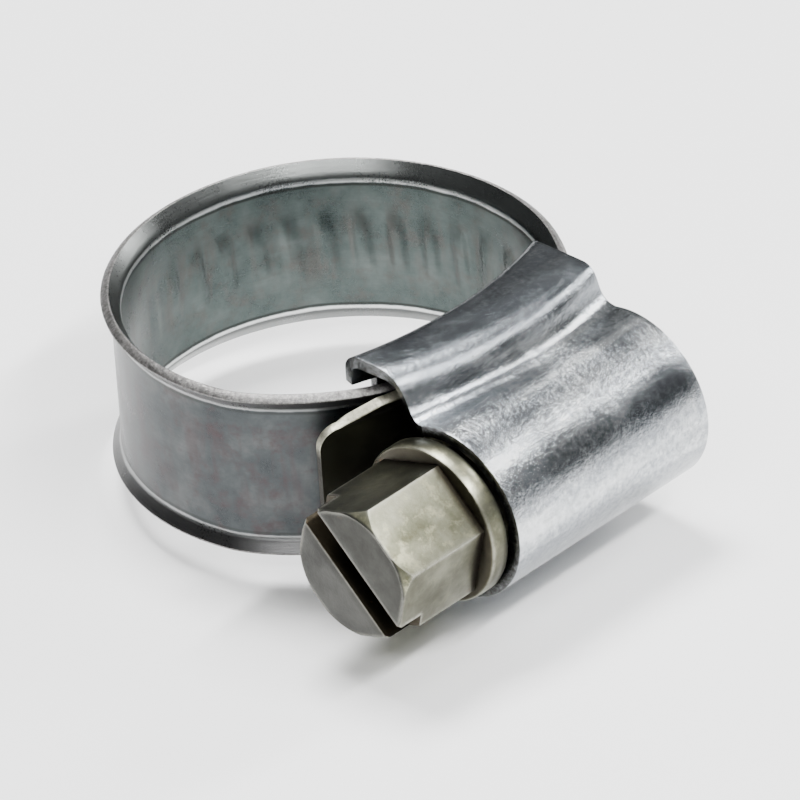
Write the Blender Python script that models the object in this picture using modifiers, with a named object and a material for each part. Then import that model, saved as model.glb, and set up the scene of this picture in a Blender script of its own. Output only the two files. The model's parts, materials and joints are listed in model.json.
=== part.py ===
"""Worm-drive hose clamp, 16 to 22 mm, with a band about 9.7 mm wide.

The band is one springy strip. It is divided here into short links, so that the ring can close:
each link turns about a line across the strip, at the middle of its thickness.

Frame: the ring's axis is Z, the screw's axis is parallel to X with its head at -X, and the
housing is on the -Y side. The shapes are worked out about the ring's centre, and the root empty
then puts the middle of the underside at the world's origin.
"""
import math

import bmesh
import bpy
from mathutils import Matrix, Vector

MM = 0.001

# ---- driving dimensions, in millimetres ----
RING_RADIUS = 11.3          # middle of the strip's thickness, where the ring is round
STRIP = 0.55                # thickness of the strip
FLAT_HALF = 3.8             # half the width of the strip's flat middle
BAND_HALF = 4.75            # half the width of the whole band, along the middle of its thickness
LIP_OUT = 0.58              # how far each flared edge stands out
LIP_CURVE = 1.25            # 1 is a straight flare, more is a softer bend at its foot
CHANNEL_CENTRE = 15.7       # Y of the centre that the layers in the housing bend about
PLATE_RADIUS = 24.0         # inner face of the housing's plate
FIXED_RADIUS = 25.1         # middle of the band's fixed layer
TAIL_RADIUS = 25.9          # middle of the band's threaded layer
SHEET = 0.6                 # thickness of the housing
HOUSING_TOP = 6.6           # half the housing's height across the band
HOUSING_CORNER = 0.9        # outside radius of the fold between the plate and the side
SHOULDER_Y = -12.9          # where the side starts to drop to the tunnel, at its deepest
SHOULDER_X = 1.0
SHOULDER_BOW = 0.0234       # how much the shoulder bows towards the ring, away from SHOULDER_X
SHOULDER_ROUND = 1.6        # how gently the side turns down at the shoulder
SHOULDER_ROUND_SLOPE = 0.07
SHOULDER_DROP = 1.2         # from the shoulder to where the side meets the tunnel
MOUTH_PLATE = -5.5          # X of the head-side mouth at the plate, cut back to let the band out
MOUTH_ABOVE = -6.9          # X of the plate's edge just above the band
MOUTH_FOLD = -6.9           # X of the head-side mouth at the fold
MOUTH_TUNNEL = -7.3         # X of the head-side mouth at the tunnel
FAR_MOUTH = 7.0             # X of the far mouth
SCREW_Y = -14.4             # Y of the screw's axis
TUNNEL_DEPTH = 4.85         # half axis of the tunnel's outside along Y
TUNNEL_HEIGHT = 4.8         # half axis of the tunnel's outside along Z
PITCH = 1.9                 # pitch of the worm thread
WORM_CREST = 4.0            # radius of the thread's crest
WORM_ROOT = 3.0
THREAD_CREST = 0.3          # shares of the pitch: the crest, and one flank
THREAD_FLANK = 0.16
THREAD_RUN_OUT = 1.2        # length over which the thread fades at each end
SHANK = 1.0                 # plain length between the collar and the thread
COLLAR_RADIUS = 4.4
HEX_FLATS = 7.0             # across the flats of the head
HEX_TURN = 43.6             # degrees, the head's rest angle
HEAD_FACE = -14.6           # X of the head's end face
COLLAR_FRONT = -8.8
COLLAR_BACK = -7.6
WORM_END = 6.5
SLOT_WIDTH = 1.26
SLOT_DEPTH = 1.6
SLOT_TURN = 43.6            # degrees, the slot's rest angle
FACE_RADIUS = 3.55          # flat of the head's end face, inside the chamfer
CHAMFER_RISE = 9.0          # the head's conical chamfer grows this much in radius
CHAMFER_RUN = 9.6           # over this length
STRIP_STEP = 1.3            # length of one facet along the strip
LINK_GAP = 0.3              # gap between one link and the next
GROOVE_DEPTH = 0.25
GROOVE_WIDTH = 1.0
GROOVE_HALF = 2.4           # half the length of a thread groove across the band
GROOVES_BEFORE = 4          # grooves from the middle of the worm towards the tip
GROOVES_AFTER = 2           # and away from it
TAIL_TIP = -10.1
TONGUE_START = -6.7         # X where the tail starts to narrow
TONGUE_END = -9.0           # X where the tip's rounded corner starts
TONGUE_HALF = 3.85          # half the tail's width there
TIP_ROUND = 1.1             # radius of the tip's corners

# where the strip leaves the channels and where it is round, with the pull of the curves between
FIXED_END = 3.5             # X of the hidden fixed end
FIXED_LEAVE = -4.6
RING_JOIN = 193.3           # degrees about the ring's axis
RING_PART = -31.8
TAIL_ENTER = 5.2
FIXED_PULL = 2.6
RING_PULL = 2.2
TAIL_PULL = 2.0

# hinges of the band, as lengths along the strip from its hidden fixed end
FIRST_HINGE = 11.2
RING_LINK = 5.0
RING_LINKS = 10
ENTRY_LINK = 2.2
ENTRY_LINKS = 3


# ---- the strip's middle line ----
def bezier(p0, p1, p2, p3, count):
    points = []
    for i in range(count + 1):
        t = i / count
        a, b, c, d = (1 - t) ** 3, 3 * t * (1 - t) ** 2, 3 * t * t * (1 - t), t ** 3
        points.append(p0 * a + p1 * b + p2 * c + p3 * d)
    return points


def channel_point(radius, x):
    return Vector((x, CHANNEL_CENTRE - math.sqrt(radius * radius - x * x)))


def channel_run(radius, x0, x1, count=120):
    return [channel_point(radius, x0 + (x1 - x0) * i / count) for i in range(count + 1)]


def ring_point(degrees):
    angle = math.radians(degrees)
    return Vector((math.cos(angle), math.sin(angle))) * RING_RADIUS


def along_ring(point):
    return Vector((point.y, -point.x)).normalized()


def along_channel(point):
    return Vector((point.y - CHANNEL_CENTRE, -point.x)).normalized()


def strip_line():
    """From the fixed end out of the head-side mouth, round the ring and back to the tail's tip."""
    leave = channel_point(FIXED_RADIUS, FIXED_LEAVE)
    join = ring_point(RING_JOIN)
    left = bezier(
        leave, leave + along_channel(leave) * FIXED_PULL, join - along_ring(join) * RING_PULL, join, 120)
    part = ring_point(RING_PART)
    enter = channel_point(TAIL_RADIUS, TAIL_ENTER)
    right = bezier(
        part, part + along_ring(part) * RING_PULL, enter - along_channel(enter) * TAIL_PULL, enter, 120)
    ring = [ring_point(RING_JOIN + (RING_PART - RING_JOIN) * i / 900) for i in range(901)]
    runs = [channel_run(FIXED_RADIUS, FIXED_END, FIXED_LEAVE), left, ring, right]
    runs.append(channel_run(TAIL_RADIUS, TAIL_ENTER, TAIL_TIP))
    points = runs[0]
    for run in runs[1:]:
        points = points + run[1:]
    return points


LINE = strip_line()
LENGTHS = [0.0]
for before, after in zip(LINE, LINE[1:]):
    LENGTHS.append(LENGTHS[-1] + (after - before).length)


def line_index(length):
    low, high = 0, len(LENGTHS) - 2
    while low < high:
        middle = (low + high + 1) // 2
        if LENGTHS[middle] <= length:
            low = middle
        else:
            high = middle - 1
    return low


def line_point(length):
    i = line_index(length)
    return LINE[i].lerp(LINE[i + 1], (length - LENGTHS[i]) / (LENGTHS[i + 1] - LENGTHS[i]))


def line_direction(length):
    step = 0.05
    start = max(length - step, 0.0)
    end = min(length + step, LENGTHS[-1])
    return (line_point(end) - line_point(start)).normalized()


# ---- helpers ----
def material(name, colour, roughness):
    made = bpy.data.materials.new(name)
    made.use_nodes = True
    shader = made.node_tree.nodes["Principled BSDF"]
    shader.inputs["Base Color"].default_value = (*colour, 1.0)
    shader.inputs["Metallic"].default_value = 1.0
    shader.inputs["Roughness"].default_value = roughness
    return made


def collection(name):
    made = bpy.data.collections.new(name)
    bpy.context.scene.collection.children.link(made)
    return made


def add(name, bm, group, finish=None):
    """A new object whose mesh is in metres, from a bmesh in millimetres."""
    bmesh.ops.scale(bm, vec=(MM, MM, MM), verts=bm.verts)
    mesh = bpy.data.meshes.new(name)
    bm.to_mesh(mesh)
    bm.free()
    made = bpy.data.objects.new(name, mesh)
    group.objects.link(made)
    if finish:
        mesh.materials.append(finish)
        mesh.shade_smooth()
        mesh.set_sharp_from_angle(angle=math.radians(35))
    else:
        made.hide_render = True
        made.display_type = "WIRE"
    return made


def curved_grid(columns, rows, place):
    """A flat grid bent to place(u, v), with u and v from 0 to 1."""
    bm = bmesh.new()
    bmesh.ops.create_grid(bm, x_segments=columns, y_segments=rows, size=0.5)
    for vert in bm.verts:
        vert.co = place(vert.co.x + 0.5, vert.co.y + 0.5)
    return bm


def thicken(target, thickness, offset):
    shell = target.modifiers.new("Solidify", "SOLIDIFY")
    shell.thickness = thickness * MM
    shell.offset = offset
    shell.use_even_offset = True


def cut(target, cutter, operation="DIFFERENCE"):
    step = target.modifiers.new("Cut", "BOOLEAN")
    step.operation = operation
    step.object = cutter


def x_axis_cylinder(bm, radius_low, radius_high, x_low, x_high, sides):
    """A cone or cylinder about the screw's axis, from x_low to x_high."""
    turn = Matrix.Rotation(math.radians(90), 4, "Y")
    move = Matrix.Translation(((x_low + x_high) / 2, 0, 0))
    bmesh.ops.create_cone(
        bm, cap_ends=True, segments=sides, radius1=radius_low, radius2=radius_high,
        depth=x_high - x_low, matrix=move @ turn)


# ---- the band ----
def lip(z):
    """How far the strip stands out at height z: flat in the middle, flared at both edges."""
    reach = max(abs(z) - FLAT_HALF, 0.0) / (BAND_HALF - FLAT_HALF)
    return LIP_OUT * reach ** LIP_CURVE


FLARE_STEPS = [0.0, 0.28, 0.52, 0.76, 1.0]
BAND_ROWS = 2 * len(FLARE_STEPS) - 1


def band_height(v):
    """Rows of the strip: one flat middle, then four steps over each flared edge."""
    row = round(v * BAND_ROWS)
    upper = row - len(FLARE_STEPS)
    side = 1 if upper >= 0 else -1
    step = FLARE_STEPS[upper] if upper >= 0 else FLARE_STEPS[-1 - upper]
    return side * (FLAT_HALF + (BAND_HALF - FLAT_HALF) * step)


def strip_piece(name, start, end, origin, group, finish):
    columns = max(2, math.ceil((end - start) / STRIP_STEP))

    def place(u, v):
        length = start + (end - start) * u
        middle = line_point(length)
        along = line_direction(length)
        z = band_height(v)
        out = middle + Vector((along.y, -along.x)) * -lip(z)
        return Vector((out.x - origin.x, out.y - origin.y, z))

    piece = add(name, curved_grid(columns, BAND_ROWS, place), group, finish)
    thicken(piece, STRIP, 0.0)
    return piece


def thread_grooves(tail, origin, group):
    """Slanted grooves that the worm's thread runs in, one for each turn of the thread."""
    lead_angle = math.atan(PITCH / (2 * math.pi * WORM_CREST))
    bm = bmesh.new()
    for turn in range(-GROOVES_BEFORE, GROOVES_AFTER + 1):
        sweep = (turn * PITCH) / TAIL_RADIUS
        radius = TAIL_RADIUS + STRIP / 2 - GROOVE_DEPTH + 0.5
        middle = Vector((math.sin(sweep) * radius, CHANNEL_CENTRE - math.cos(sweep) * radius, 0))
        place = Matrix.Translation(middle - Vector((origin.x, origin.y, 0)))
        place = place @ Matrix.Rotation(sweep, 4, "Z") @ Matrix.Rotation(lead_angle, 4, "Y")
        size = Matrix.Diagonal((GROOVE_WIDTH, 1.0, 2 * GROOVE_HALF, 1.0))
        bmesh.ops.create_cube(bm, size=1.0, matrix=place @ size)
    cutter = add("groove_cutter", bm, group)
    cut(tail, cutter)
    return cutter


def tip_cutter(origin, group):
    """Narrows the tail to a tongue with two rounded corners."""
    bm = bmesh.new()
    outside = BAND_HALF + 0.6
    beyond = TAIL_TIP - 1.0
    for side in (-1, 1):
        rim = [(TONGUE_START, outside), (TONGUE_START, BAND_HALF + 0.15)]
        for i in range(9):
            angle = math.radians(90 * i / 8)
            x = TONGUE_END - TIP_ROUND * math.sin(angle)
            rim.append((x, TONGUE_HALF - TIP_ROUND * (1 - math.cos(angle))))
        rim += [(beyond, rim[-1][1]), (beyond, outside)]
        outline = [bm.verts.new((x - origin.x, -12.0 - origin.y, side * z)) for x, z in rim]
        raised = bmesh.ops.extrude_face_region(bm, geom=[bm.faces.new(outline)])
        lifted = [item for item in raised["geom"] if isinstance(item, bmesh.types.BMVert)]
        bmesh.ops.translate(bm, vec=(0, 6.0, 0), verts=lifted)
    bmesh.ops.recalc_face_normals(bm, faces=bm.faces)
    return add("tip_cutter", bm, group)


def hinge_lengths():
    """Lengths along the strip where one link ends and the next begins; the last starts the tail."""
    hinges = [FIRST_HINGE + RING_LINK * i for i in range(RING_LINKS)]
    entry = FIRST_HINGE + RING_LINK * RING_LINKS
    return hinges + [entry + ENTRY_LINK * i for i in range(ENTRY_LINKS + 1)]


def build_band(root, parts, cutters, finish):
    nowhere = Vector((0.0, 0.0))
    hinges = hinge_lengths()
    half_gap = LINK_GAP / 2
    fixed = strip_piece("band_fixed_end", 0.0, hinges[0] - half_gap, nowhere, parts, finish)
    fixed.parent = root
    parent, parent_origin = fixed, nowhere
    for number, start in enumerate(hinges, 1):
        is_tail = number == len(hinges)
        end = LENGTHS[-1] if is_tail else hinges[number] - half_gap
        name = "band_tail" if is_tail else f"band_link_{number:02d}"
        origin = line_point(start)
        piece = strip_piece(name, start + half_gap, end, origin, parts, finish)
        piece.parent = parent
        shift = origin - parent_origin
        piece.location = (shift.x * MM, shift.y * MM, 0)
        parent, parent_origin = piece, origin
    for cutter in (thread_grooves(parent, parent_origin, cutters), tip_cutter(parent_origin, cutters)):
        cutter.parent = parent
    cut(parent, bpy.data.objects["tip_cutter"])


# ---- the housing ----
PLATE_ROWS = [0.0, 2.6, 4.86, 4.94]     # heights of the outline's points on the plate
NOTCH_ROWS = 3                          # the first of them lie on the cut-back edge


def housing_half(x):
    """Half of the housing's outer outline at x, as (y, z) from the plate to the tunnel's far side."""
    plate = CHANNEL_CENTRE - math.sqrt(PLATE_RADIUS ** 2 - x * x)
    points = [(plate, z) for z in PLATE_ROWS]
    for i in range(6):
        angle = math.radians(90 * i / 5)
        y = plate - HOUSING_CORNER * (1 - math.cos(angle))
        points.append((y, HOUSING_TOP - HOUSING_CORNER * (1 - math.sin(angle))))
    shoulder = SHOULDER_Y + SHOULDER_BOW * (x - SHOULDER_X) ** 2
    reach = SHOULDER_ROUND - SHOULDER_ROUND_SLOPE * x
    landing = shoulder - SHOULDER_DROP
    slope = math.acos((landing - SCREW_Y) / TUNNEL_DEPTH)
    height = TUNNEL_HEIGHT * math.sin(slope)
    p0 = Vector((shoulder + reach, HOUSING_TOP))
    p1 = Vector((shoulder - 0.5, HOUSING_TOP))
    p2 = Vector((shoulder + 0.5, height))
    p3 = Vector((landing, height))
    points += [(p.x, p.y) for p in bezier(p0, p1, p2, p3, 8)]
    for i in range(1, 10):
        angle = slope + (math.pi - slope) * i / 9
        points.append((SCREW_Y + TUNNEL_DEPTH * math.cos(angle), TUNNEL_HEIGHT * math.sin(angle)))
    return points


def mouth(index, y):
    """X of the head-side mouth at one point of the outline: slanted from the fold to the tunnel."""
    if index < NOTCH_ROWS:
        return MOUTH_PLATE
    if index < len(PLATE_ROWS):
        return MOUTH_ABOVE
    share = min(max((SHOULDER_Y - y) / (SHOULDER_Y - SCREW_Y) + 1.0, 0.0), 1.0)
    return MOUTH_FOLD + (MOUTH_TUNNEL - MOUTH_FOLD) * share


def build_housing(root, parts, finish):
    half_count = len(housing_half(0.0))
    loop_count = 2 * half_count - 2

    def place(u, v):
        row = round(v * loop_count) % loop_count
        mirrored = row >= half_count
        index = loop_count - row if mirrored else row
        guess = MOUTH_TUNNEL + (FAR_MOUTH - MOUTH_TUNNEL) * u
        near = mouth(index, housing_half(guess)[index][0])
        x = near + (FAR_MOUTH - near) * u
        y, z = housing_half(x)[index]
        return Vector((x, y, -z if mirrored else z))

    bm = curved_grid(12, loop_count, place)
    bmesh.ops.remove_doubles(bm, verts=bm.verts, dist=0.001)
    bmesh.ops.recalc_face_normals(bm, faces=bm.faces)
    housing = add("housing", bm, parts, finish)
    thicken(housing, SHEET, -1.0)
    housing.parent = root
    return housing


# ---- the screw ----
def thread_radius(x, angle):
    """Radius of the worm at x: a right-hand thread with a flat crest and sloping flanks."""
    turns = x / PITCH - angle / (2 * math.pi)
    from_crest = abs(turns - round(turns))
    rise = (THREAD_CREST / 2 + THREAD_FLANK - from_crest) / THREAD_FLANK
    run_in = (x - COLLAR_BACK - SHANK) / THREAD_RUN_OUT
    run_out = (WORM_END - x) / THREAD_RUN_OUT
    share = 1.0
    for limit in (rise, run_in, run_out):
        share *= min(max(limit, 0.0), 1.0)
    return WORM_ROOT + (WORM_CREST - WORM_ROOT) * share


def worm_body():
    """The threaded shaft: rings about the axis whose radius follows the thread, closed at both ends."""
    sides, steps = 30, 66
    x_start = COLLAR_FRONT + 0.4

    def place(u, v):
        x = x_start + (WORM_END - x_start) * u
        angle = 2 * math.pi * v
        radius = thread_radius(x, angle)
        return Vector((x, radius * math.cos(angle), radius * math.sin(angle)))

    bm = curved_grid(steps, sides, place)
    bmesh.ops.remove_doubles(bm, verts=bm.verts, dist=0.0005)
    open_edges = [edge for edge in bm.edges if edge.is_boundary]
    bmesh.ops.holes_fill(bm, edges=open_edges)
    bmesh.ops.recalc_face_normals(bm, faces=bm.faces)
    return bm


def build_screw(root, parts, cutters, finish):
    screw = add("worm_screw", worm_body(), parts, finish)
    screw.parent = root
    screw.location = (0, SCREW_Y * MM, 0)

    bm = bmesh.new()
    x_axis_cylinder(bm, COLLAR_RADIUS, COLLAR_RADIUS, COLLAR_FRONT, COLLAR_BACK, 40)
    collar = add("collar_solid", bm, cutters)

    bm = bmesh.new()
    circumradius = HEX_FLATS / math.sqrt(3)
    x_axis_cylinder(bm, circumradius, circumradius, HEAD_FACE, COLLAR_FRONT + 0.3, 6)
    bmesh.ops.rotate(bm, verts=bm.verts, matrix=Matrix.Rotation(math.radians(HEX_TURN), 3, "X"))
    head = add("hex_solid", bm, cutters)

    bm = bmesh.new()
    x_axis_cylinder(
        bm, FACE_RADIUS, FACE_RADIUS + CHAMFER_RISE, HEAD_FACE, HEAD_FACE + CHAMFER_RUN, 40)
    chamfer = add("head_chamfer", bm, cutters)

    bm = bmesh.new()
    size = Matrix.Diagonal((2 * SLOT_DEPTH, 14.0, SLOT_WIDTH, 1.0))
    place = Matrix.Translation((HEAD_FACE, 0, 0)) @ Matrix.Rotation(math.radians(SLOT_TURN), 4, "X")
    bmesh.ops.create_cube(bm, size=1.0, matrix=place @ size)
    slot = add("driver_slot", bm, cutters)

    cut(head, chamfer, "INTERSECT")
    cut(screw, collar, "UNION")
    cut(screw, head, "UNION")
    cut(screw, slot)
    for cutter in (collar, head, chamfer, slot):
        cutter.parent = screw


def clear_scene():
    for item in list(bpy.data.objects):
        bpy.data.objects.remove(item, do_unlink=True)


def lowest_and_highest(parts):
    """The whole clamp's box, as the modifiers leave it."""
    bpy.context.view_layer.update()
    graph = bpy.context.evaluated_depsgraph_get()
    corners = []
    for item in parts.objects:
        shown = item.evaluated_get(graph)
        if shown.type != "MESH":
            continue
        corners += [shown.matrix_world @ vert.co for vert in shown.data.vertices]
    low = Vector([min(corner[i] for corner in corners) for i in range(3)])
    high = Vector([max(corner[i] for corner in corners) for i in range(3)])
    return low, high


def main():
    clear_scene()
    parts = collection("hose_clamp")
    cutters = collection("hose_clamp_cutters")
    zinc = material("zinc_plate", (0.55, 0.57, 0.58), 0.35)
    bright_zinc = material("bright_zinc", (0.66, 0.68, 0.70), 0.28)
    passivated = material("passivated_zinc", (0.58, 0.57, 0.46), 0.32)
    root = bpy.data.objects.new("hose_clamp_root", None)
    parts.objects.link(root)
    build_housing(root, parts, bright_zinc)
    build_screw(root, parts, cutters, passivated)
    build_band(root, parts, cutters, zinc)
    low, high = lowest_and_highest(parts)
    root.location = (-(low.x + high.x) / 2, -(low.y + high.y) / 2, -low.z)


main()
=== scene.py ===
"""Looks of the worm-drive hose clamp: band, housing and screw as finished pieces on the CAD frame."""

import json
import math

import bmesh
import bpy
import numpy as np
from mathutils import Matrix, Vector


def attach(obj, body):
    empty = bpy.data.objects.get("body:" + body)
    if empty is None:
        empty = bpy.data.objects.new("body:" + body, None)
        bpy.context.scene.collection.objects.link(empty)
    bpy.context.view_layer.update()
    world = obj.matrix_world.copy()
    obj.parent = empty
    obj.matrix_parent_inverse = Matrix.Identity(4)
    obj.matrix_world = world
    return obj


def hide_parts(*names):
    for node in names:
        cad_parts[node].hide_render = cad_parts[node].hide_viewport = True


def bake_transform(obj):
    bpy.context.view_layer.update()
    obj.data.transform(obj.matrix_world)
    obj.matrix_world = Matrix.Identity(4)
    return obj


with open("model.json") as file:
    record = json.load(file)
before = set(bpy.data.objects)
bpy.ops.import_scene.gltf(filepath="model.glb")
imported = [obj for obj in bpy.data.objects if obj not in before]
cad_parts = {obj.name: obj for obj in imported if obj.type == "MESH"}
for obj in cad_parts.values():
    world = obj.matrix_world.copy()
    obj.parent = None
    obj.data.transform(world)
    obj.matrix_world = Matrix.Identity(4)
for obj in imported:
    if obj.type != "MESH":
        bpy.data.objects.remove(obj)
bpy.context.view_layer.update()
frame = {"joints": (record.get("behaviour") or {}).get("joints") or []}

MM = 0.001

# ---- the design's dimensions, in millimetres about the ring's centre, as in the CAD ----
RING_RADIUS = 11.3
STRIP = 0.55
FLAT_HALF = 3.8
BAND_HALF = 4.75
LIP_OUT = 0.58
LIP_BEND = 0.16
CHANNEL_CENTRE = 15.7
PLATE_RADIUS = 24.0
FIXED_RADIUS = 25.1
TAIL_RADIUS = 25.9
SHEET = 0.6
HOUSING_TOP = 6.6
HOUSING_CORNER = 0.9
SHOULDER_Y = -12.9
PLATE_TOP = 4.86
PLATE_SHORT = 0.4           # the plate's far edge is eased back this much, clear of the bending strip
MOUTH_PLATE = -5.5
MOUTH_ABOVE = -6.9
MOUTH_FOLD = -6.9
MOUTH_TUNNEL = -7.3
FAR_MOUTH = 7.0
SCREW_Y = -14.4
TUNNEL_DEPTH = 4.85
TUNNEL_HEIGHT = 4.8
PITCH = 1.9
WORM_CREST = 4.0
WORM_ROOT = 3.0
COLLAR_RADIUS = 4.4
HEX_FLATS = 7.0
HEX_TURN = 43.6
HEAD_FACE = -14.6
COLLAR_FRONT = -8.8
COLLAR_BACK = -7.6
WORM_END = 6.5
SLOT_WIDTH = 1.26
SLOT_DEPTH = 1.6
SLOT_TURN = 43.6
FACE_RADIUS = 3.55
GROOVE_HALF = 2.4
TAIL_TIP = -10.1
TONGUE_START = -6.7
TONGUE_END = -9.0
TONGUE_HALF = 3.85
TIP_ROUND = 1.1
FIXED_END = 3.5
FIXED_LEAVE = -4.6
FIXED_PULL = 2.6
RING_JOIN = 193.3           # degrees round the ring
RING_PART = -31.8
RING_PULL = 2.2
TAIL_ENTER = 5.2
TAIL_PULL = 2.0
FIRST_HINGE = 11.2
RING_LINK = 5.0
RING_LINKS = 10
ENTRY_LINK = 2.2
ENTRY_LINKS = 3

screw_joint = next(j for j in frame["joints"] if j["name"] == "screw_turn")
CENTRE = Vector(screw_joint["pos_m"]) - Vector((0, SCREW_Y * MM, 0))


# ---- the strip's middle line ----
def bezier(p0, p1, p2, p3, count):
    t = np.linspace(0, 1, count + 1)[:, None]
    return (1 - t) ** 3 * p0 + 3 * t * (1 - t) ** 2 * p1 + 3 * t * t * (1 - t) * p2 + t ** 3 * p3


def channel_run(radius, x0, x1, count=400):
    x = np.linspace(x0, x1, count + 1)
    return np.stack([x, CHANNEL_CENTRE - np.sqrt(radius * radius - x * x)], -1)


def ring_run(first, last, count=3000):
    angle = np.radians(np.linspace(first, last, count + 1))
    return RING_RADIUS * np.stack([np.cos(angle), np.sin(angle)], -1)


def unit(vector):
    return vector / np.linalg.norm(vector)


def along_ring(point):
    return unit(np.array([point[1], -point[0]]))


def along_channel(point):
    return unit(np.array([point[1] - CHANNEL_CENTRE, -point[0]]))


def strip_line():
    """From the fixed end in the housing, round the ring, and back through the housing to the tail's tip."""
    fixed = channel_run(FIXED_RADIUS, FIXED_END, FIXED_LEAVE)
    tail = channel_run(TAIL_RADIUS, TAIL_ENTER, TAIL_TIP)
    ring = ring_run(RING_JOIN, RING_PART)
    leave, join, part, enter = fixed[-1], ring[0], ring[-1], tail[0]
    left = bezier(leave, leave + along_channel(leave) * FIXED_PULL,
                  join - along_ring(join) * RING_PULL, join, 400)
    right = bezier(part, part + along_ring(part) * RING_PULL,
                   enter - along_channel(enter) * TAIL_PULL, enter, 400)
    return np.concatenate([fixed, left[1:], ring[1:], right[1:], tail[1:]])


LINE = strip_line()
LENGTHS = np.concatenate([[0], np.cumsum(np.hypot(*np.diff(LINE, axis=0).T))])
BAND_LENGTH = LENGTHS[-1]


def line_point(length):
    return np.stack([np.interp(length, LENGTHS, LINE[:, 0]), np.interp(length, LENGTHS, LINE[:, 1])], -1)


def line_out(length):
    """Unit direction out of the ring, across the strip's thickness."""
    step = 0.12
    along = line_point(np.minimum(length + step, BAND_LENGTH)) - line_point(np.maximum(length - step, 0))
    along = along / np.linalg.norm(along, axis=-1, keepdims=True)
    return np.stack([-along[..., 1], along[..., 0]], -1)


def in_world(points):
    return np.asarray(points, float) * MM + np.array(CENTRE)


# ---- meshes ----
def new_object(name, bm, scale=True):
    if scale:
        for vert in bm.verts:
            vert.co = vert.co * MM + CENTRE
    mesh = bpy.data.meshes.new(name)
    bm.to_mesh(mesh)
    bm.free()
    made = bpy.data.objects.new(name, mesh)
    bpy.context.scene.collection.objects.link(made)
    return made


def loop_skin(name, rings, uvs, closed_ends=True):
    """A closed skin over rings of equal count, with a UV for each point and flat end caps."""
    columns, rows = rings.shape[:2]
    verts = rings.reshape(-1, 3)
    index = np.arange(columns * rows).reshape(columns, rows)
    a = index[:-1, :]
    b = index[1:, :]
    quads = np.stack([a, np.roll(a, -1, 1), np.roll(b, -1, 1), b], -1).reshape(-1, 4)
    faces = [tuple(q) for q in quads]
    if closed_ends:
        faces.append(tuple(index[0, ::-1]))
        faces.append(tuple(index[-1, :]))
    mesh = bpy.data.meshes.new(name)
    mesh.from_pydata([tuple(v) for v in verts], [], faces)
    layer = mesh.uv_layers.new(name="strip")
    flat = uvs.reshape(-1, 2)
    loops = np.zeros(len(mesh.loops), int)
    mesh.loops.foreach_get("vertex_index", loops)
    layer.data.foreach_set("uv", flat[loops].ravel())
    mesh.shade_smooth()
    made = bpy.data.objects.new(name, mesh)
    bpy.context.scene.collection.objects.link(made)
    bm = bmesh.new()
    bm.from_mesh(mesh)
    bmesh.ops.recalc_face_normals(bm, faces=bm.faces)
    bm.to_mesh(mesh)
    bm.free()
    return made


# ---- band ----
IMPRINT_FIRST = 33.0        # strip length where the thread imprints begin
IMPRINT_LAST = 79.5
IMPRINT_INSIDE = 0.13       # how far an imprint stands out on the inside
IMPRINT_OUTSIDE = 0.26      # and how deep it is on the outside
RIM_EASE = 0.07             # the sheared rim's eased corners
IN_FINISH, OUT_FINISH, RIM_FINISH = range(3)
IMPRINT_ZERO = float(np.interp(0.0, -LINE[-400:, 0], LENGTHS[-400:]))


def smooth(value, low, high):
    t = np.clip((value - low) / (high - low), 0, 1)
    return t * t * (3 - 2 * t)


def imprint(length, z):
    """1 in the middle of a thread imprint, 0 between imprints."""
    slant = PITCH / (2 * math.pi * WORM_CREST)
    phase = (length - IMPRINT_ZERO + z * slant) / PITCH
    away = np.abs(phase - np.round(phase)) * PITCH
    across = 1 - smooth(away, 0.14, 0.66)
    ends = 1 - smooth(np.abs(z), GROOVE_HALF - 1.7, GROOVE_HALF - 0.1)
    begins = smooth(length, IMPRINT_FIRST, IMPRINT_FIRST + 6)
    finishes = 1 - smooth(length, IMPRINT_LAST - 0.5, IMPRINT_LAST)
    return across * ends * begins * finishes


def lip(z):
    """How far the strip stands out at height z: a straight flare with a small rounded bend at its foot."""
    past = np.abs(z) - FLAT_HALF - LIP_BEND
    rise = (past + np.sqrt(past ** 2 + LIP_BEND ** 2)) / 2
    full = BAND_HALF - FLAT_HALF - LIP_BEND
    return LIP_OUT * rise / ((full + math.hypot(full, LIP_BEND)) / 2)


def lip_slope(z):
    past = np.abs(z) - FLAT_HALF - LIP_BEND
    full = BAND_HALF - FLAT_HALF - LIP_BEND
    turn = (1 + past / np.sqrt(past ** 2 + LIP_BEND ** 2)) / 2
    return np.sign(z) * LIP_OUT * turn / ((full + math.hypot(full, LIP_BEND)) / 2)


def section_heights():
    flat = np.linspace(-(FLAT_HALF - 0.5), FLAT_HALF - 0.5, 26)
    flare = np.linspace(FLAT_HALF - 0.5, BAND_HALF, 22)[1:]
    return np.concatenate([-flare[::-1], flat, flare])


def half_width(x, length):
    """Half width of the band: narrowed to a round-cornered tongue at the tail's end."""
    if length < BAND_LENGTH - 8 or x > TONGUE_START:
        return BAND_HALF
    if x > TONGUE_END:
        share = (TONGUE_START - x) / (TONGUE_START - TONGUE_END)
        return min(BAND_HALF, BAND_HALF + 0.15 - (BAND_HALF + 0.15 - TONGUE_HALF) * share)
    into = min((TONGUE_END - x) / TIP_ROUND, 1.0)
    return TONGUE_HALF - TIP_ROUND * (1 - math.sqrt(1 - into * into))


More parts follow.
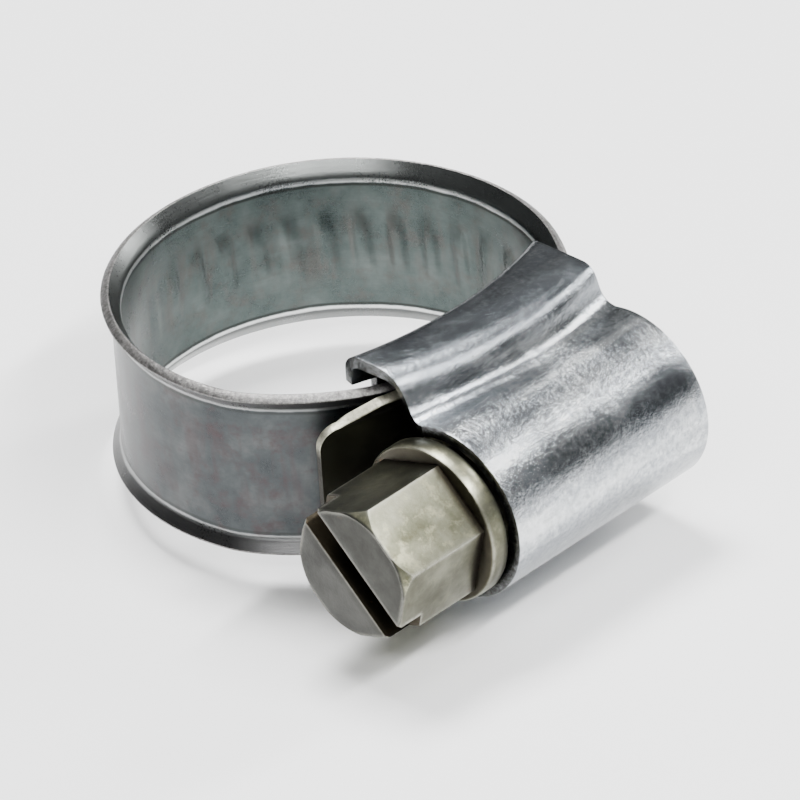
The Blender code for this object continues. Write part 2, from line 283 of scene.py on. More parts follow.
def band_piece(name, start, end):
    count = max(8, int(round((end - start) / 0.11)))
    lengths = np.linspace(start, end, count + 1)
    if end > BAND_LENGTH - 0.01:
        tip_x = TONGUE_END - TIP_ROUND * np.sin(np.linspace(0, math.pi / 2, 26))
        near_tip = np.interp(-tip_x, -LINE[-300:, 0], LENGTHS[-300:])
        near_tip[-1] = BAND_LENGTH
        lengths = np.concatenate([lengths[lengths < near_tip[0] - 0.03], near_tip])
    heights = section_heights()
    rings = []
    uvs = []
    for length in lengths:
        middle = line_point(length)
        out = line_out(length)
        half = half_width(middle[0], length)
        z = heights * (half / BAND_HALF)
        slope = lip_slope(z)
        norm = np.sqrt(1 + slope ** 2)
        press = imprint(length, z)
        base = lip(z)
        inner_n = base - (STRIP / 2 + IMPRINT_INSIDE * press) / norm
        inner_z = z + (STRIP / 2) * slope / norm
        outer_n = base + (STRIP / 2 - IMPRINT_OUTSIDE * press) / norm
        outer_z = z - (STRIP / 2) * slope / norm
        rim = []
        for side in (1, -1):
            i = -1 if side > 0 else 0
            a = np.array([inner_n[i], inner_z[i]])
            b = np.array([outer_n[i], outer_z[i]])
            across = unit(b - a) * RIM_EASE
            along = np.array([slope[i], 1.0]) / norm[i] * side * RIM_EASE
            steps = [a - along, a - along * 0.3 + across * 0.3, a + across]
            steps += [b - across, b - across * 0.3 - along * 0.3, b - along]
            rim.append(steps if side > 0 else steps[::-1])
        inner = np.stack([inner_n, inner_z], -1)[1:-1]
        outer = np.stack([outer_n, outer_z], -1)[1:-1][::-1]
        section = np.concatenate([inner, np.array(rim[0]), outer, np.array(rim[1])])
        plan = middle[None, :] + out[None, :] * section[:, :1]
        rings.append(np.concatenate([plan, section[:, 1:]], -1))
        uvs.append(np.stack([np.full(len(section), length), section[:, 1]], -1))
    rings = np.array(rings)
    piece = loop_skin(name, in_world(rings), np.array(uvs))
    inner_count = len(heights) - 2
    rows = rings.shape[1]
    row = np.arange(len(piece.data.polygons)) % rows
    is_rim = ((row >= inner_count) & (row < inner_count + 5)) | (row >= rows - 6) & (row < rows - 1)
    sides = np.full(len(row), OUT_FINISH)
    sides[row < inner_count] = IN_FINISH
    sides[is_rim] = RIM_FINISH
    sides[-2:] = RIM_FINISH
    for finish in (band_inside, band_outside, band_rim):
        piece.data.materials.append(finish)
    piece.data.polygons.foreach_set("material_index", sides)
    piece.data.set_sharp_from_angle(angle=math.radians(50))
    return piece


def hinge_lengths():
    hinges = [FIRST_HINGE + RING_LINK * i for i in range(RING_LINKS)]
    last = FIRST_HINGE + RING_LINK * RING_LINKS
    return hinges + [last + ENTRY_LINK * i for i in range(ENTRY_LINKS + 1)]


def build_band():
    hinges = hinge_lengths()
    bodies = ["housing"] + [f"band_link_{i:02d}" for i in range(1, len(hinges))] + ["band_tail"]
    nodes = ["band_fixed_end"] + bodies[1:]
    middles = [(a + b) / 2 for a, b in zip(hinges, hinges[1:])]
    starts = [0.0] + middles
    ends = middles + [BAND_LENGTH]
    for i, hinge in enumerate(hinges):
        piece = band_piece(f"band_run_{i + 1:02d}", starts[i], ends[i])
        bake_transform(piece)
        replaced = [nodes[i]] if i + 1 < len(hinges) else [nodes[i], nodes[i + 1]]
        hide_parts(*replaced)


# ---- housing ----
PLATE_HEIGHTS = list(np.linspace(0, PLATE_TOP, 9)) + [PLATE_TOP + 0.08]


def mouth(index, y):
    """X of the head-side mouth at one point of the outline: slanted from the fold to the tunnel."""
    if index < len(PLATE_HEIGHTS) - 1:
        return MOUTH_PLATE
    if index < len(PLATE_HEIGHTS):
        return MOUTH_ABOVE
    share = min(max((SHOULDER_Y - y) / (SHOULDER_Y - SCREW_Y) + 1.0, 0.0), 1.0)
    return MOUTH_FOLD + (MOUTH_TUNNEL - MOUTH_FOLD) * share


def housing_half(x):
    """Half of the housing's outer outline at x, as (y, z) from the plate to the tunnel's far side."""
    plate = CHANNEL_CENTRE - math.sqrt(PLATE_RADIUS ** 2 - x * x)
    corner = HOUSING_CORNER
    shoulder = SHOULDER_Y + 0.0234 * (x - 1.0) ** 2
    reach = 1.6 - 0.07 * x
    points = [(plate, z) for z in PLATE_HEIGHTS]
    for i in range(13):
        angle = math.radians(90 * i / 12)
        points.append((plate - corner * (1 - math.cos(angle)), HOUSING_TOP - corner * (1 - math.sin(angle))))
    landing = shoulder - 1.2
    slope = math.acos((landing - SCREW_Y) / TUNNEL_DEPTH)
    height = TUNNEL_HEIGHT * math.sin(slope)
    p0 = np.array([shoulder + reach, HOUSING_TOP])
    start = np.array(points[-1])
    points += [tuple(start + (p0 - start) * t) for t in (0.25, 0.5, 0.75)]
    p1 = np.array([shoulder - 0.5, HOUSING_TOP])
    p2 = np.array([shoulder + 0.5, height])
    p3 = np.array([landing, height])
    points += [tuple(p) for p in bezier(p0, p1, p2, p3, 24)]
    for i in range(1, 29):
        angle = slope + (math.pi - slope) * i / 28
        points.append((SCREW_Y + TUNNEL_DEPTH * math.cos(angle), TUNNEL_HEIGHT * math.sin(angle)))
    return np.array(points)


def build_housing():
    stations = np.linspace(0, 1, 61)
    grid = []
    for u in stations:
        guess = MOUTH_TUNNEL + (FAR_MOUTH - MOUTH_TUNNEL) * u
        y = housing_half(guess)[:, 0]
        near = np.array([mouth(i, yi) for i, yi in enumerate(y)])
        far = np.full(len(y), FAR_MOUTH)
        far[:len(PLATE_HEIGHTS) - 1] -= PLATE_SHORT
        x = near + (far - near) * u
        half = np.array([housing_half(xi)[i] for i, xi in enumerate(x)])
        upper = np.column_stack([x, half])
        lower = (upper * np.array([1, 1, -1]))[1:-1][::-1]
        grid.append(np.concatenate([upper, lower]))
    rings = np.array(grid)
    around = np.linspace(0, 40, rings.shape[1])
    uvs = np.stack(np.meshgrid(stations * 14, around, indexing="ij"), -1)
    housing = loop_skin("housing_shell", in_world(rings), uvs, closed_ends=False)
    shell = housing.modifiers.new("Solidify", "SOLIDIFY")
    shell.thickness = SHEET * MM
    shell.offset = -1.0
    shell.use_even_offset = True
    ease = housing.modifiers.new("Bevel", "BEVEL")
    ease.width = 0.09 * MM
    ease.segments = 3
    ease.limit_method = "ANGLE"
    ease.angle_limit = math.radians(60)
    housing.data.materials.append(housing_finish)
    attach(housing, "housing")
    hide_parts("housing")


# ---- screw ----
def thread_radius(x, angle):
    turns = x / PITCH - angle / (2 * math.pi)
    from_crest = np.abs(turns - np.round(turns))
    rise = smooth(0.31 - from_crest, 0.0, 0.16)
    start = smooth(x, COLLAR_BACK + 1.0, COLLAR_BACK + 2.2)
    finish = 1 - smooth(x, WORM_END - 1.2, WORM_END)
    return WORM_ROOT + (WORM_CREST - WORM_ROOT) * rise * start * finish


def worm_mesh():
    x = np.linspace(COLLAR_FRONT + 0.4, WORM_END, 220)
    angle = np.linspace(0, 2 * math.pi, 73)[:-1]
    gx, ga = np.meshgrid(x, angle, indexing="ij")
    radius = thread_radius(gx, ga)
    rings = np.stack([gx, SCREW_Y + radius * np.cos(ga), radius * np.sin(ga)], -1)
    return loop_skin("worm_screw_body", in_world(rings), np.stack([gx, ga], -1))


def turned(name, profile, sides=96):
    """A solid of revolution about the screw's axis from (x, radius) points."""
    angle = np.linspace(0, 2 * math.pi, sides + 1)[:-1]
    rings = []
    for x, radius in profile:
        rings.append(np.stack([
            np.full(sides, x), SCREW_Y + radius * np.cos(angle), radius * np.sin(angle)], -1))
    rings = np.array(rings)
    return loop_skin(name, in_world(rings), np.zeros(rings.shape[:2] + (2,)))


def hex_mesh():
    bm = bmesh.new()
    radius = HEX_FLATS / math.sqrt(3)
    length = COLLAR_FRONT + 0.3 - HEAD_FACE
    place = Matrix.Translation((HEAD_FACE + length / 2, SCREW_Y, 0))
    place = place @ Matrix.Rotation(math.radians(HEX_TURN), 4, "X")
    place = place @ Matrix.Rotation(math.radians(90), 4, "Y")
    bmesh.ops.create_cone(
        bm, cap_ends=True, segments=6, radius1=radius, radius2=radius, depth=length, matrix=place)
    return new_object("hex_blank", bm)


def slot_mesh():
    bm = bmesh.new()
    place = Matrix.Translation((HEAD_FACE, SCREW_Y, 0)) @ Matrix.Rotation(math.radians(SLOT_TURN), 4, "X")
    across = 2 * HEX_FLATS
    place = place @ Matrix.Diagonal((2 * SLOT_DEPTH, across, SLOT_WIDTH, 1.0))
    bmesh.ops.create_cube(bm, size=1.0, matrix=place)
    return new_object("slot_blank", bm)


def boolean(target, tool, operation):
    step = target.modifiers.new("Cut", "BOOLEAN")
    step.operation = operation
    step.object = tool


def settle(target):
    """Applies the modifiers and drops the tools they used."""
    bpy.context.view_layer.update()
    graph = bpy.context.evaluated_depsgraph_get()
    mesh = bpy.data.meshes.new_from_object(target.evaluated_get(graph), depsgraph=graph)
    tools = [m.object for m in target.modifiers if m.type == "BOOLEAN"]
    target.modifiers.clear()
    target.data = mesh
    for tool in tools:
        bpy.data.objects.remove(tool, do_unlink=True)


def build_screw():
    head = hex_mesh()
    cone = [(HEAD_FACE, FACE_RADIUS)]
    cone += [(HEAD_FACE + 0.96 * t, FACE_RADIUS + 0.90 * t) for t in (0.5, 1.0)]
    cone += [(COLLAR_FRONT + 0.4, FACE_RADIUS + 1.2)]
    boolean(head, turned("cone_blank", cone), "INTERSECT")
    boolean(head, slot_mesh(), "DIFFERENCE")
    settle(head)
    ease = head.modifiers.new("Bevel", "BEVEL")
    ease.width = 0.14 * MM
    ease.segments = 3
    ease.limit_method = "ANGLE"
    ease.angle_limit = math.radians(24)
    settle(head)
    collar = turned("collar_blank", [
        (COLLAR_FRONT, COLLAR_RADIUS - 0.22), (COLLAR_FRONT + 0.06, COLLAR_RADIUS - 0.08),
        (COLLAR_FRONT + 0.22, COLLAR_RADIUS), (COLLAR_BACK - 0.2, COLLAR_RADIUS),
        (COLLAR_BACK - 0.06, COLLAR_RADIUS - 0.06), (COLLAR_BACK, COLLAR_RADIUS - 0.2)])
    screw = worm_mesh()
    boolean(screw, collar, "UNION")
    boolean(screw, head, "UNION")
    settle(screw)
    screw.data.materials.clear()
    screw.data.materials.append(screw_finish)
    screw.data.shade_smooth()
    screw.data.set_sharp_from_angle(angle=math.radians(32))
    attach(screw, "worm_screw")
    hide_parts("worm_screw")


# ---- materials ----
class Nodes:
    """A Principled material and short ways to add nodes to it."""

    def __init__(self, name, metallic=1.0):
        self.material = bpy.data.materials.new(name)
        self.material.use_nodes = True
        self.tree = self.material.node_tree
        self.shader = self.tree.nodes["Principled BSDF"]
        self.shader.inputs["Metallic"].default_value = metallic

    def add(self, kind, **values):
        node = self.tree.nodes.new(kind)
        for key, value in values.items():
            setattr(node, key, value)
        return node

    def link(self, source, target):
        self.tree.links.new(source, target)

    def noise(self, vector, scale, detail=4.0, rough=0.55):
        node = self.add("ShaderNodeTexNoise")
        node.inputs["Scale"].default_value = scale
        node.inputs["Detail"].default_value = detail
        node.inputs["Roughness"].default_value = rough
        self.link(vector, node.inputs["Vector"])
        return node.outputs["Fac"]

    def stretch(self, vector, scale):
        node = self.add("ShaderNodeMapping")
        node.inputs["Scale"].default_value = scale
        self.link(vector, node.inputs["Vector"])
        return node.outputs["Vector"]

    def ramp(self, value, stops):
        node = self.add("ShaderNodeValToRGB")
        elements = node.color_ramp.elements
        while len(elements) > 1:
            elements.remove(elements[-1])
        for i, (place, colour) in enumerate(stops):
            element = elements[0] if i == 0 else elements.new(place)
            element.position = place
            element.color = (*colour, 1.0)
        self.link(value, node.inputs["Fac"])
        return node.outputs["Color"]

    def range(self, value, low, high, to_low=0.0, to_high=1.0):
        node = self.add("ShaderNodeMapRange")
        for key, number in zip(("From Min", "From Max", "To Min", "To Max"), (low, high, to_low, to_high)):
            node.inputs[key].default_value = number
        self.link(value, node.inputs["Value"])
        return node.outputs["Result"]

    def mix(self, factor, a, b):
        node = self.add("ShaderNodeMix", data_type="RGBA")
        for value, socket in ((factor, node.inputs[0]), (a, node.inputs[6]), (b, node.inputs[7])):
            if isinstance(value, (int, float)):
                socket.default_value = value
            elif isinstance(value, tuple):
                socket.default_value = (*value, 1.0)
            else:
                self.link(value, socket)
        return node.outputs[2]

    def math(self, operation, a, b=0.0):
        node = self.add("ShaderNodeMath", operation=operation)
        for value, socket in ((a, node.inputs[0]), (b, node.inputs[1])):
            if isinstance(value, (int, float)):
                socket.default_value = value
            else:
                self.link(value, socket)
        return node.outputs[0]

    def dot(self, vector, direction):
        node = self.add("ShaderNodeVectorMath", operation="DOT_PRODUCT")
        node.inputs[1].default_value = direction
        self.link(vector, node.inputs[0])
        return node.outputs["Value"]

    def split(self, vector):
        node = self.add("ShaderNodeSeparateXYZ")
        self.link(vector, node.inputs[0])
        return node.outputs["X"], node.outputs["Y"]

    def openness(self, distance):
        """1 in the open, towards 0 in crevices narrower than the distance."""
        node = self.add("ShaderNodeAmbientOcclusion", samples=8)
        node.inputs["Distance"].default_value = distance
        return node.outputs["AO"]

    def bump(self, height, strength, distance):
        node = self.add("ShaderNodeBump")
        node.inputs["Strength"].default_value = strength
        node.inputs["Distance"].default_value = distance
        self.link(height, node.inputs["Height"])
        self.link(node.outputs["Normal"], self.shader.inputs["Normal"])


def strip_material(name, colour_stops, stain, rough, bump, bend, tail=None):
    """Rolled and plated strip: texture laid along the strip's own length and height.

    stain is a colour and its strength, rough the roughness of its two extremes, bend the flare's colour,
    lightened as a painted reflection, with the strengths of the painted shade in the crease and of the
    painted highlight along the bend, and tail where the painted shade on the tail starts and is full, with
    its colour."""
    n = Nodes(name)
    place = n.add("ShaderNodeUVMap", uv_map="strip").outputs["UV"]
    rolled = n.noise(n.stretch(place, (0.22, 5.0, 1.0)), 1.6, detail=6.0)
    cloud = n.noise(place, 0.42, detail=5.0, rough=0.6)
    grain = n.noise(place, 9.0, detail=3.0, rough=0.7)
    colour = n.ramp(cloud, colour_stops)
    blotch = n.range(n.noise(place, 0.7, detail=8.0, rough=0.7), 0.50, 0.66)
    colour = n.mix(n.math("MULTIPLY", blotch, stain[3]), colour, stain[:3])
    colour = n.mix(n.range(rolled, 0.3, 0.7, 0.16, 0.0), colour, (0.05, 0.055, 0.055))
    specks = n.range(n.noise(place, 4.5, detail=4.0, rough=0.75), 0.66, 0.74)
    colour = n.mix(n.math("MULTIPLY", specks, 0.5), colour, (0.07, 0.06, 0.055))
    patch = n.range(cloud, 0.3, 0.7, rough[0], rough[1])
    length, height = n.split(place)
    height = n.math("ADD", n.math("ABSOLUTE", height), n.range(cloud, 0.3, 0.7, -0.04, 0.04))
    streak = n.range(n.noise(n.stretch(place, (1.0, 0.14, 1.0)), 0.95, detail=3.0), 0.50, 0.62)
    streak = n.math("MULTIPLY", streak, n.range(height, 1.4, 2.9, 0.42, 0.0))
    colour = n.mix(streak, colour, stain[:3])
    # the rolled flare: lightened as a painted reflection, with a painted highlight along its bend and
    # painted shade in the crease beside the flat
    colour = n.mix(n.range(height, FLAT_HALF + 0.10, FLAT_HALF + 0.20), colour, bend[0])
    bend_highlight = n.math("MULTIPLY", n.range(height, FLAT_HALF - 0.06, FLAT_HALF + 0.02),
                   n.range(height, FLAT_HALF + 0.24, FLAT_HALF + 0.14))
    colour = n.mix(n.math("MULTIPLY", bend_highlight, bend[2]), colour, (0.92, 0.93, 0.92))
    crease = n.math("MULTIPLY", n.range(height, FLAT_HALF - 0.26, FLAT_HALF - 0.18),
                    n.range(height, FLAT_HALF - 0.05, FLAT_HALF - 0.11))
    colour = n.mix(n.math("MULTIPLY", crease, bend[1]), colour, (0.03, 0.032, 0.03))
    # the tail's end is painted darker: painted shade where it runs under the housing and out of its mouth
    if tail:
        uneven = n.math("ADD", length, n.range(cloud, 0.3, 0.7, -0.6, 0.6))
        painted_shade = n.range(uneven, tail[0], tail[1])
        colour = n.mix(n.math("MULTIPLY", painted_shade, 0.9), colour, tail[2])
        patch = n.math("ADD", patch, n.math("MULTIPLY", painted_shade, 0.12))
    n.link(colour, n.shader.inputs["Base Color"])
    patch = n.math("ADD", patch, n.range(grain, 0.3, 0.7, -0.04, 0.04))
    n.link(patch, n.shader.inputs["Roughness"])
    relief = n.math("ADD", n.math("MULTIPLY", rolled, 0.5), n.math("MULTIPLY", grain, 0.5))
    n.bump(relief, bump, 0.04 * MM)
    return n.material


def rim_material():
    """The strip's sheared rims: grainy grey with dark burrs, and pale where the tail's edge is rubbed."""
    n = Nodes("sheared_rim")
    place = n.add("ShaderNodeUVMap", uv_map="strip").outputs["UV"]
    object_place = n.add("ShaderNodeTexCoord").outputs["Object"]
    grain = n.noise(object_place, 5200.0, detail=4.0, rough=0.7)
    wear = n.noise(place, 0.8, detail=5.0)
    colour = n.ramp(grain, [
        (0.3, (0.10, 0.098, 0.095)), (0.5, (0.21, 0.205, 0.20)), (0.72, (0.36, 0.35, 0.335))])
    burr = n.range(n.noise(place, 1.7, detail=6.0, rough=0.7), 0.56, 0.68)
    colour = n.mix(n.math("MULTIPLY", burr, 0.75), colour, (0.045, 0.042, 0.04))
    length, height = n.split(place)
    at_tail = n.range(length, BAND_LENGTH - 6.5, BAND_LENGTH - 5.5)
    # the tail's rims are painted darker: painted shade, as on the tail's face
    colour = n.mix(n.math("MULTIPLY", at_tail, 0.9), colour, (0.05, 0.047, 0.038))
    rubbed = n.math("MULTIPLY", at_tail, n.range(height, 2.2, 2.9))
    pale = n.ramp(grain, [(0.3, (0.30, 0.29, 0.22)), (0.7, (0.62, 0.60, 0.49))])
    colour = n.mix(rubbed, colour, pale)
    n.link(colour, n.shader.inputs["Base Color"])
    n.link(n.range(wear, 0.3, 0.7, 0.36, 0.52), n.shader.inputs["Roughness"])
    n.bump(grain, 0.6, 0.06 * MM)
    return n.material


def housing_material():
    """Bright zinc on pressed sheet: fine spangle and soft draw marks that run along the tunnel."""
    n = Nodes("bright_zinc")
    place = n.add("ShaderNodeTexCoord").outputs["Object"]
    cloud = n.noise(place, 240.0, detail=5.0, rough=0.6)
    fine = n.noise(place, 6400.0, detail=3.0, rough=0.7)
    pebble = n.noise(place, 3300.0, detail=5.0, rough=0.72)
    draw = n.noise(n.stretch(place, (0.11, 1.0, 1.0)), 560.0, detail=3.0, rough=0.5)
    worn = n.range(n.noise(place, 300.0, detail=3.0, rough=0.5), 0.40, 0.62)
    colour = n.ramp(cloud, [
        (0.30, (0.36, 0.385, 0.41)), (0.5, (0.46, 0.485, 0.505)), (0.72, (0.56, 0.575, 0.585))])
    colour = n.mix(n.range(pebble, 0.40, 0.52, 0.50, 0.0), colour, (0.15, 0.16, 0.175))
    colour = n.mix(n.range(pebble, 0.56, 0.64, 0.0, 0.45), colour, (0.85, 0.86, 0.86))
    colour = n.mix(n.range(draw, 0.38, 0.52, 0.55, 0.0), colour, (0.17, 0.185, 0.205))
    colour = n.mix(n.range(draw, 0.54, 0.64, 0.0, 0.5), colour, (0.80, 0.82, 0.82))
    pits = n.range(n.noise(place, 2100.0, detail=5.0, rough=0.8), 0.68, 0.73)
    colour = n.mix(n.math("MULTIPLY", pits, 0.75), colour, (0.055, 0.05, 0.045))
    # the hump's flank and top are duller than the drawn tunnel; the sheared mouth is painted dark as painted
    # shade
    shoulder_y = float(in_world([0.0, SHOULDER_Y, 0.0])[1])
    uneven = n.math("ADD", n.split(place)[1], n.range(cloud, 0.3, 0.7, -0.4 * MM, 0.4 * MM))
    on_hump = n.range(uneven, shoulder_y - 0.4 * MM, shoulder_y + 1.2 * MM, 0.0, 0.62)
    colour = n.mix(on_hump, colour, (0.17, 0.185, 0.20))
    normal = n.add("ShaderNodeTexCoord").outputs["Normal"]
    sheared = n.range(n.dot(normal, (-1.0, 0.0, 0.0)), 0.55, 0.85)
    mouth_shade = n.math("MULTIPLY", sheared, n.range(pebble, 0.35, 0.6, 0.95, 0.6))
    colour = n.mix(mouth_shade, colour, (0.05, 0.047, 0.042))
    shaded = n.range(n.openness(2.5 * MM), 0.15, 0.5, 0.9, 0.0)
    colour = n.mix(shaded, colour, (0.035, 0.033, 0.03))
    n.link(colour, n.shader.inputs["Base Color"])
    rough = n.range(worn, 0.0, 1.0, 0.19, 0.25)
    n.link(n.math("ADD", rough, n.range(fine, 0.3, 0.7, -0.03, 0.03)), n.shader.inputs["Roughness"])
    height = n.math("MULTIPLY", pebble, n.range(worn, 0.0, 1.0, 0.55, 1.1))
    height = n.math("ADD", height, n.math("MULTIPLY", fine, 0.3))
    height = n.math("ADD", height, n.math("MULTIPLY", draw, 0.8))
    n.bump(height, 0.7, 0.05 * MM)
    return n.material


def screw_material():
    """Olive passivation on zinc, worn pale on the corners, dark with dirt in the slot, and painted shade in
    the crevices, on two hex flats and between the hexagon and the collar.
    """
    n = Nodes("passivated_zinc")
    place = n.add("ShaderNodeTexCoord").outputs["Object"]
    normal = n.add("ShaderNodeTexCoord").outputs["Normal"]
    along = n.split(place)[0]
    face, y, z = (float(value) for value in in_world([HEAD_FACE, SCREW_Y, 0.0]))
    collar = float(in_world([COLLAR_FRONT, SCREW_Y, 0.0])[0])
    cloud = n.noise(place, 420.0, detail=6.0, rough=0.6)
    fine = n.noise(place, 3600.0, detail=4.0, rough=0.7)
    pits = n.noise(place, 1500.0, detail=5.0, rough=0.8)
    openness = n.openness(1.3 * MM)
    colour = n.ramp(cloud, [
        (0.30, (0.10, 0.10, 0.062)), (0.45, (0.20, 0.20, 0.14)),
        (0.6, (0.31, 0.31, 0.23)), (0.72, (0.38, 0.37, 0.27))])
    mottle = n.range(n.noise(place, 1100.0, detail=6.0, rough=0.7), 0.52, 0.64)
    colour = n.mix(n.math("MULTIPLY", mottle, 0.55), colour, (0.42, 0.41, 0.27))
    # two flats of the hexagon are painted darker by the way they face: painted shade
    upper_flat_shade = n.range(n.dot(normal, (0.0, 0.282, 0.959)), 0.90, 0.99)
    upper_flat_shade = n.math("MULTIPLY", upper_flat_shade, n.range(cloud, 0.25, 0.5, 0.95, 0.75))
    colour = n.mix(upper_flat_shade, colour, (0.030, 0.031, 0.025))
    side_flat_shade = n.range(n.dot(normal, (0.0, -0.972, -0.235)), 0.80, 0.97)
    side_flat_shade = n.math("MULTIPLY", side_flat_shade, n.range(cloud, 0.3, 0.7, 0.92, 0.62))
    colour = n.mix(side_flat_shade, colour, (0.060, 0.058, 0.040))
    # the end face is dull grey
    on_face = n.range(along, face + 0.12 * MM, face + 0.04 * MM)
    dull = n.ramp(cloud, [(0.3, (0.030, 0.030, 0.027)), (0.7, (0.066, 0.066, 0.060))])
    colour = n.mix(on_face, colour, dull)
    # painted shade fills the gap between the hexagon and the collar
    gap = n.math("MULTIPLY", n.range(along, collar - 0.6 * MM, collar - 0.2 * MM),
                 n.range(along, collar + 0.12 * MM, collar + 0.02 * MM))
    colour = n.mix(n.math("MULTIPLY", gap, 0.93), colour, (0.035, 0.030, 0.022))
    # corners in the open are rubbed pale
    rounded = n.add("ShaderNodeBevel", samples=6)
    rounded.inputs["Radius"].default_value = 0.42 * MM
    turning = n.add("ShaderNodeVectorMath", operation="DOT_PRODUCT")
    n.link(rounded.outputs["Normal"], turning.inputs[0])
    n.link(n.add("ShaderNodeNewGeometry").outputs["Normal"], turning.inputs[1])
    worn = n.math("MULTIPLY", n.range(turning.outputs["Value"], 0.985, 0.90), n.range(pits, 0.30, 0.50))
    worn = n.math("MULTIPLY", worn, n.math("SUBTRACT", 1.0, gap))
    worn = n.math("MULTIPLY", worn, n.range(along, face + 0.25 * MM, face + 0.6 * MM, 0.3, 1.0))
    worn = n.math("MULTIPLY", worn, n.range(openness, 0.75, 0.95))
    colour = n.mix(n.math("MULTIPLY", worn, 0.75), colour, (0.62, 0.61, 0.53))
    # crevices found by ambient occlusion are darkened: painted shade
    painted_shade = n.math("MULTIPLY", n.range(openness, 0.45, 0.92, 1.0, 0.0), n.range(cloud, 0.2, 0.6, 1.0, 0.8))
    colour = n.mix(painted_shade, colour, (0.030, 0.026, 0.020))
    # the slot is packed with dark dirt
    turn = math.radians(SLOT_TURN)
    offset = n.dot(place, (0.0, -math.sin(turn), math.cos(turn)))
    offset = n.math("SUBTRACT", offset, z * math.cos(turn) - y * math.sin(turn))
    wall = SLOT_WIDTH / 2 * MM
    in_slot = n.range(n.math("ABSOLUTE", offset), wall + 0.06 * MM, wall + 0.01 * MM)
    floor = face + SLOT_DEPTH * MM
    in_slot = n.math("MULTIPLY", in_slot, n.range(along, floor + 0.1 * MM, floor + 0.02 * MM))
    colour = n.mix(n.math("MULTIPLY", in_slot, 0.96), colour, (0.026, 0.020, 0.013))
    rust = n.range(n.noise(place, 760.0, detail=5.0, rough=0.7), 0.64, 0.72)
    rust = n.math("MULTIPLY", rust, n.range(openness, 0.75, 0.98, 1.0, 0.25))
    colour = n.mix(n.math("MULTIPLY", rust, 0.8), colour, (0.17, 0.085, 0.04))
    n.link(colour, n.shader.inputs["Base Color"])
    n.link(n.range(cloud, 0.3, 0.7, 0.40, 0.28), n.shader.inputs["Roughness"])
    relief = n.math("ADD", n.math("MULTIPLY", fine, 0.3), n.math("MULTIPLY", pits, 0.7))
    n.bump(relief, 0.4, 0.05 * MM)
    return n.material


band_inside = strip_material(
    "zinc_inside",
    [(0.3, (0.050, 0.064, 0.062)), (0.5, (0.076, 0.094, 0.090)), (0.7, (0.112, 0.130, 0.124))],
    (0.085, 0.072, 0.066, 0.5), (0.25, 0.35), 0.3, ((0.14, 0.148, 0.144), 0.85, 0.9))
band_outside = strip_material(
    "zinc_outside",
    [(0.3, (0.040, 0.044, 0.047)), (0.5, (0.060, 0.066, 0.068)), (0.7, (0.098, 0.102, 0.102))],
    (0.062, 0.044, 0.046, 0.7), (0.26, 0.38), 0.4, ((0.10, 0.10, 0.10), 0.5, 0.25),
    tail=(BAND_LENGTH - 12.0, BAND_LENGTH - 9.5, (0.035, 0.034, 0.025)))
band_rim = rim_material()
housing_finish = housing_material()
screw_finish = screw_material()


# ---- stage, lights, camera ----
def build_stage():
    bm = bmesh.new()
    bmesh.ops.create_grid(bm, x_segments=1, y_segments=1, size=3.0)
    floor = new_object("floor", bm, scale=False)
    n = Nodes("pale_floor", metallic=0.0)
    n.shader.inputs["Base Color"].default_value = (0.93, 0.93, 0.93, 1)
    n.shader.inputs["Roughness"].default_value = 0.75
    floor.data.materials.append(n.material)


def area_light(name, place, size, power):
    light = bpy.data.lights.new(name, "AREA")
    light.shape = "RECTANGLE"
    light.size, light.size_y = size
    light.energy = power
    made = bpy.data.objects.new(name, light)
    made.location = place
    aim = CENTRE - place
    made.rotation_euler = aim.to_track_quat("-Z", "Y").to_euler()
    bpy.context.scene.collection.objects.link(made)


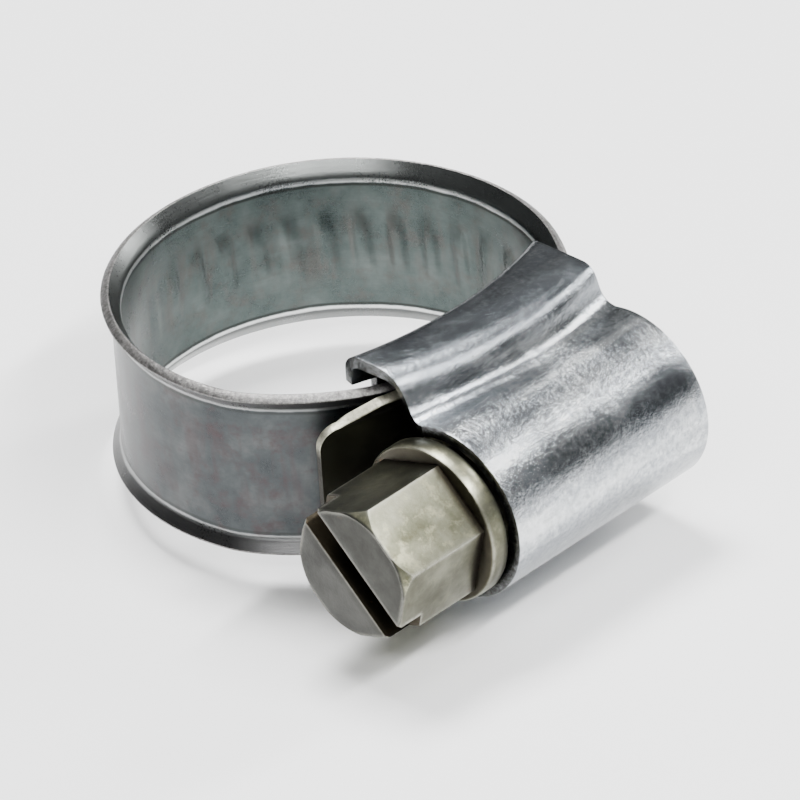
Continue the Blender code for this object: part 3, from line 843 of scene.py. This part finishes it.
def build_light():
    world = bpy.data.worlds.new("studio")
    bpy.context.scene.world = world
    world.use_nodes = True
    tree = world.node_tree
    coordinate = tree.nodes.new("ShaderNodeTexCoord")
    split = tree.nodes.new("ShaderNodeSeparateXYZ")
    ramp = tree.nodes.new("ShaderNodeValToRGB")
    elements = ramp.color_ramp.elements
    elements[0].position, elements[0].color = 0.0, (0.16, 0.165, 0.17, 1)
    elements[1].position, elements[1].color = 1.0, (0.75, 0.76, 0.77, 1)
    middle = elements.new(0.45)
    middle.color = (0.14, 0.145, 0.15, 1)
    background = tree.nodes["Background"]
    tree.links.new(coordinate.outputs["Generated"], split.inputs[0])
    tree.links.new(split.outputs["Z"], ramp.inputs["Fac"])
    tree.links.new(ramp.outputs["Color"], background.inputs["Color"])
    background.inputs["Strength"].default_value = 0.75
    area_light("overhead", CENTRE + Vector((0.04, 0.10, 0.36)), (0.16, 0.12), 2.6)
    area_light("strip", CENTRE + Vector((0.02, -0.22, 0.30)), (0.24, 0.024), 1.7)
    area_light("front", CENTRE + Vector((-0.20, -0.18, 0.26)), (0.26, 0.04), 0.8)
    area_light("right", CENTRE + Vector((0.32, -0.10, 0.16)), (0.06, 0.20), 1.1)


CAMERA_AZIMUTH = -45.0
CAMERA_ELEVATION = 32.48
CAMERA_ROLL = -4.107
CAMERA_DISTANCE = 0.726
CAMERA_LENS = 633.4
CAMERA_ASIDE = (0.0031, -0.00221)


def build_camera():
    azimuth, elevation, roll = map(math.radians, (CAMERA_AZIMUTH, CAMERA_ELEVATION, CAMERA_ROLL))
    back = Vector((math.sin(azimuth) * math.cos(elevation), -math.cos(azimuth) * math.cos(elevation),
                   math.sin(elevation)))
    right = Vector((math.cos(azimuth), math.sin(azimuth), 0))
    up = back.cross(right)
    turned_right = right * math.cos(roll) + up * math.sin(roll)
    turned_up = up * math.cos(roll) - right * math.sin(roll)
    place = CENTRE + back * CAMERA_DISTANCE + turned_right * CAMERA_ASIDE[0] + turned_up * CAMERA_ASIDE[1]
    camera = bpy.data.cameras.new("camera")
    camera.lens = CAMERA_LENS
    camera.sensor_width = 36.0
    camera.clip_start = 0.05
    camera.clip_end = 10.0
    made = bpy.data.objects.new("camera", camera)
    axes = Matrix((turned_right, turned_up, back)).transposed()
    made.matrix_world = Matrix.Translation(place) @ axes.to_4x4()
    bpy.context.scene.collection.objects.link(made)
    bpy.context.scene.camera = made


build_camera()
build_stage()
build_light()
build_housing()
build_screw()
build_band()
